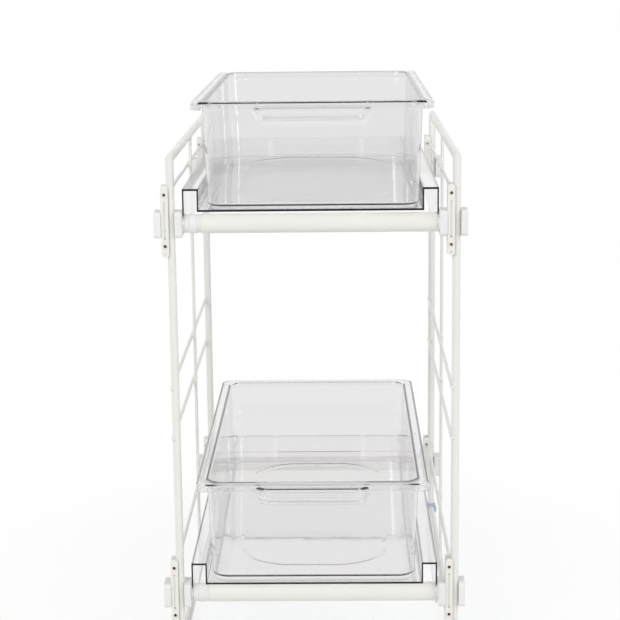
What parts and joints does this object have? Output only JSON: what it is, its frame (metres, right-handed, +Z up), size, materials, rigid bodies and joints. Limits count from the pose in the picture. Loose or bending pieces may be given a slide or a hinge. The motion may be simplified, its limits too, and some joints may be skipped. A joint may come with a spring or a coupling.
{
  "type": "under sink organizer",
  "caption": "Tiered pull-out organizer for the cupboard under a sink, with rod side frames, cross tubes, clear trays and clear sliding bins.",
  "frame": {"origin": "bottom centre of the bounding box, on the ground", "axes": "+Z up, front towards -Y, +X to the right of someone who faces the front"},
  "size_m": [0.3024, 0.47, 0.5562],
  "materials": {
    "powder_coat": "semi-gloss warm white powder coat",
    "moulded_plastic": "satin white",
    "clear_plastic": "clear, glossy, edges dark violet",
    "brass": "dull hollow rivet",
    "foot_rubber": "translucent bluish grey"
  },
  "bodies": {
    "frame": {"left_front_post": "powder_coat", "left_rear_post": "powder_coat", "right_front_post": "powder_coat", "right_rear_post": "powder_coat", "left_top_bar": "powder_coat", "left_bottom_bar": "powder_coat", "right_top_bar": "powder_coat", "right_bottom_bar": "powder_coat", "left_upright_wire": "powder_coat", "right_upright_wire": "powder_coat", "left_high_guard_wire": "powder_coat", "left_low_guard_wire": "powder_coat", "right_high_guard_wire": "powder_coat", "right_low_guard_wire": "powder_coat", "left_lower_tray_wire": "powder_coat", "left_upper_tray_wire": "powder_coat", "right_lower_tray_wire": "powder_coat", "right_upper_tray_wire": "powder_coat", "left_front_lower_connector": "moulded_plastic", "left_front_upper_connector": "moulded_plastic", "left_rear_lower_connector": "moulded_plastic", "left_rear_upper_connector": "moulded_plastic", "right_front_lower_connector": "moulded_plastic", "right_front_upper_connector": "moulded_plastic", "right_rear_lower_connector": "moulded_plastic", "right_rear_upper_connector": "moulded_plastic", "left_front_lower_strap": "powder_coat", "left_front_upper_strap": "powder_coat", "left_rear_lower_strap": "powder_coat", "left_rear_upper_strap": "powder_coat", "right_front_lower_strap": "powder_coat", "right_front_upper_strap": "powder_coat", "right_rear_lower_strap": "powder_coat", "right_rear_upper_strap": "powder_coat", "left_rivets": "brass", "right_rivets": "brass", "left_front_foot": "foot_rubber", "left_rear_foot": "foot_rubber", "right_front_foot": "foot_rubber", "right_rear_foot": "foot_rubber", "lower_front_tube": "powder_coat", "lower_rear_tube": "powder_coat", "upper_front_tube": "powder_coat", "upper_rear_tube": "powder_coat", "lower_front_plug": "moulded_plastic", "lower_rear_plug": "moulded_plastic", "upper_front_plug": "moulded_plastic", "upper_rear_plug": "moulded_plastic", "lower_tray": "clear_plastic", "upper_tray": "clear_plastic"},
    "upper_bin_body": {"upper_bin": "clear_plastic"},
    "lower_bin_body": {"lower_bin": "clear_plastic"}
  },
  "joints": [
    {"name": "upper_bin_slide", "type": "slide", "parent": "frame", "child": "upper_bin_body", "axis": [0, -1, 0], "range_m": [-0.045, 0.2]},
    {"name": "lower_bin_slide", "type": "slide", "parent": "frame", "child": "lower_bin_body", "axis": [0, -1, 0], "range_m": [-0.045, 0.2]}
  ]
}
